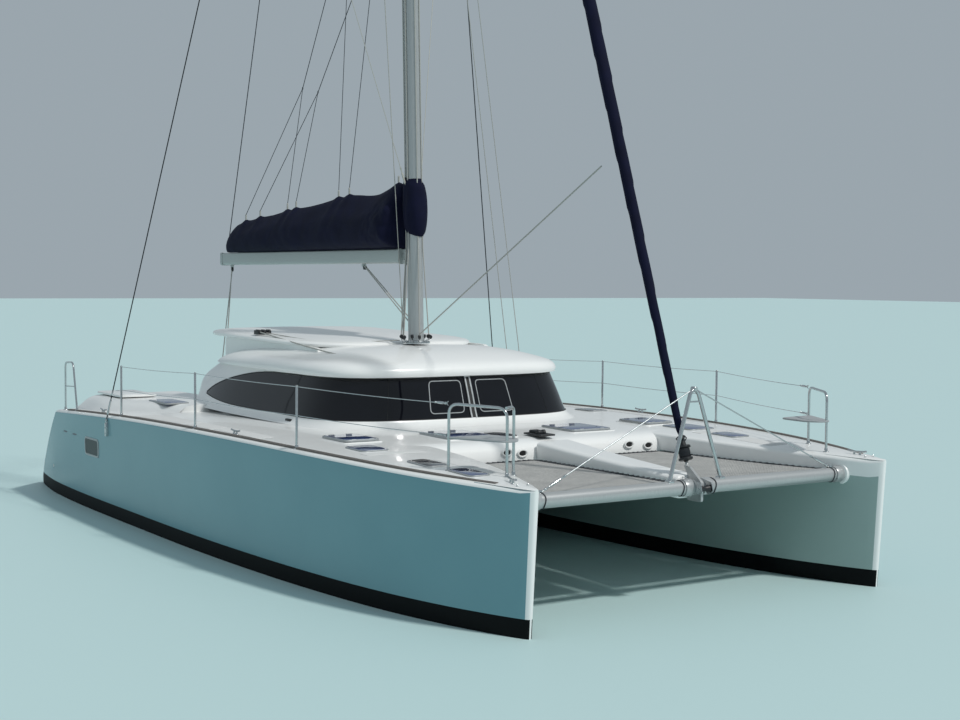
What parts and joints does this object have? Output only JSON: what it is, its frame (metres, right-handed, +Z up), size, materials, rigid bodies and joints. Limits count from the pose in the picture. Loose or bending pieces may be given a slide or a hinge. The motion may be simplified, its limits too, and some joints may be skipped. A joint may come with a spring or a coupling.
{
  "type": "sailing catamaran",
  "caption": "Cruising sailing catamaran with a glazed coachroof, hardtop, stowed mainsail on its boom, furled headsail, nets forward and stern steps.",
  "frame": {"origin": "on the centreline at the waterline, amidships", "axes": "+X forward, +Y to port, +Z up"},
  "size_m": [13.0913, 6.6292, 21.6521],
  "materials": {
    "gelcoat": "glossy white moulded skin",
    "antifouling": "matt black bottom paint",
    "glass": "dark tinted pane",
    "alloy": "satin anodised",
    "boom_paint": "pale grey paint",
    "canvas": "navy acrylic canvas",
    "steel": "polished stainless tube",
    "wire": "dark weathered wire and drum",
    "net": "grey woven net",
    "smoked_acrylic": "smoked blue acrylic",
    "bronze": "dull bronze",
    "engine_paint": "grey engine paint",
    "cushion": "blue woven cushion",
    "joinery": "satin varnish"
  },
  "bodies": {
    "boat": {"hull_starboard": "gelcoat", "hull_port": "gelcoat", "bridgedeck": "gelcoat", "foredeck": "gelcoat", "cockpit_well": "gelcoat", "coachroof": "gelcoat", "hardtop": "gelcoat", "saloon_bulkhead": "gelcoat", "longeron": "gelcoat", "helm_console": "gelcoat", "keel_starboard": "antifouling", "keel_port": "antifouling", "front_window_starboard": "glass", "front_window_port": "glass", "side_window_starboard": "glass", "side_window_port": "glass", "crossbeam": "alloy", "mast": "alloy", "saildrive_starboard": "alloy", "saildrive_port": "alloy", "striker": "steel", "forestay_head": "steel", "pulpit_starboard": "steel", "pulpit_port": "steel", "guardrail_starboard": "steel", "guardrail_port": "steel", "pushpit_starboard": "steel", "pushpit_port": "steel", "cap_shroud_starboard": "wire", "cap_shroud_port": "wire", "trampoline_starboard": "net", "trampoline_port": "net", "engine_starboard": "engine_paint", "engine_port": "engine_paint", "cockpit_bench": "cushion", "saloon_settee": "cushion", "cockpit_table": "joinery", "saloon_table": "joinery", "galley_unit": "joinery"},
    "boom": {"boom": "boom_paint", "sail_cover": "canvas"},
    "furler": {"headsail_roll": "canvas", "furler_drum": "wire"},
    "saloon_door": {"saloon_door": "glass"},
    "steering_wheel": {"steering_wheel": "steel"},
    "rudder_starboard": {"rudder_starboard": "antifouling"},
    "rudder_port": {"rudder_port": "antifouling"},
    "propeller_starboard": {"propeller_starboard": "bronze"},
    "propeller_port": {"propeller_port": "bronze"},
    "engine_hatch_starboard": {"engine_hatch_starboard": "gelcoat"},
    "engine_hatch_port": {"engine_hatch_port": "gelcoat"},
    "cabin_hatch_starboard": {"cabin_hatch_starboard": "smoked_acrylic"},
    "cabin_hatch_port": {"cabin_hatch_port": "smoked_acrylic"},
    "locker_lid_starboard": {"locker_lid_starboard": "smoked_acrylic"},
    "locker_lid_port": {"locker_lid_port": "smoked_acrylic"}
  },
  "joints": [
    {"name": "boom_swing", "type": "hinge", "parent": "boat", "child": "boom", "pos_m": [0.175, 0, 3.69], "axis": [0, 0, 1], "range_deg": [-40, 40]},
    {"name": "furler_turn", "type": "hinge", "parent": "boat", "child": "furler", "pos_m": [6, 0, 1.45], "axis": [-0.331, 0, 0.9436], "continuous": true},
    {"name": "rudder_starboard_turn", "type": "hinge", "parent": "boat", "child": "rudder_starboard", "pos_m": [-5.65, -2.36, 0], "axis": [0, 0, 1], "range_deg": [-35, 35]},
    {"name": "rudder_port_turn", "type": "hinge", "parent": "boat", "child": "rudder_port", "pos_m": [-5.65, 2.36, 0], "axis": [0, 0, 1], "range_deg": [-35, 35]},
    {"name": "wheel_turn", "type": "hinge", "parent": "boat", "child": "steering_wheel", "pos_m": [-2.32, 0.9, 1.48], "axis": [1, 0, 0], "range_deg": [-350, 350]},
    {"name": "saloon_door_slide", "type": "slide", "parent": "boat", "child": "saloon_door", "axis": [0, -1, 0], "range_m": [0, 0.72]},
    {"name": "propeller_starboard_spin", "type": "hinge", "parent": "boat", "child": "propeller_starboard", "pos_m": [-4.575, -2.36, -0.83], "axis": [1, 0, 0], "continuous": true},
    {"name": "propeller_port_spin", "type": "hinge", "parent": "boat", "child": "propeller_port", "pos_m": [-4.575, 2.36, -0.83], "axis": [1, 0, 0], "continuous": true},
    {"name": "engine_hatch_starboard_open", "type": "hinge", "parent": "boat", "child": "engine_hatch_starboard", "pos_m": [-3.7, -2.36, 1.581], "axis": [0, 1, 0], "range_deg": [0, 75]},
    {"name": "cabin_hatch_starboard_open", "type": "hinge", "parent": "boat", "child": "cabin_hatch_starboard", "pos_m": [2.96, -2.2, 1.5289], "axis": [0, 1, 0], "range_deg": [0, 85]},
    {"name": "locker_lid_starboard_open", "type": "hinge", "parent": "boat", "child": "locker_lid_starboard", "pos_m": [3.2, -0.9, 1.523], "axis": [0, 1, 0], "range_deg": [0, 85]},
    {"name": "engine_hatch_port_open", "type": "hinge", "parent": "boat", "child": "engine_hatch_port", "pos_m": [-3.7, 2.36, 1.581], "axis": [0, 1, 0], "range_deg": [0, 75]},
    {"name": "cabin_hatch_port_open", "type": "hinge", "parent": "boat", "child": "cabin_hatch_port", "pos_m": [2.96, 2.2, 1.5289], "axis": [0, 1, 0], "range_deg": [0, 85]},
    {"name": "locker_lid_port_open", "type": "hinge", "parent": "boat", "child": "locker_lid_port", "pos_m": [3.2, 0.9, 1.523], "axis": [0, 1, 0], "range_deg": [0, 85]}
  ],
  "couplings": [
    {"joint": "rudder_port_turn", "follows": "rudder_starboard_turn", "ratio": 1},
    {"joint": "wheel_turn", "follows": "rudder_starboard_turn", "ratio": 10}
  ]
}
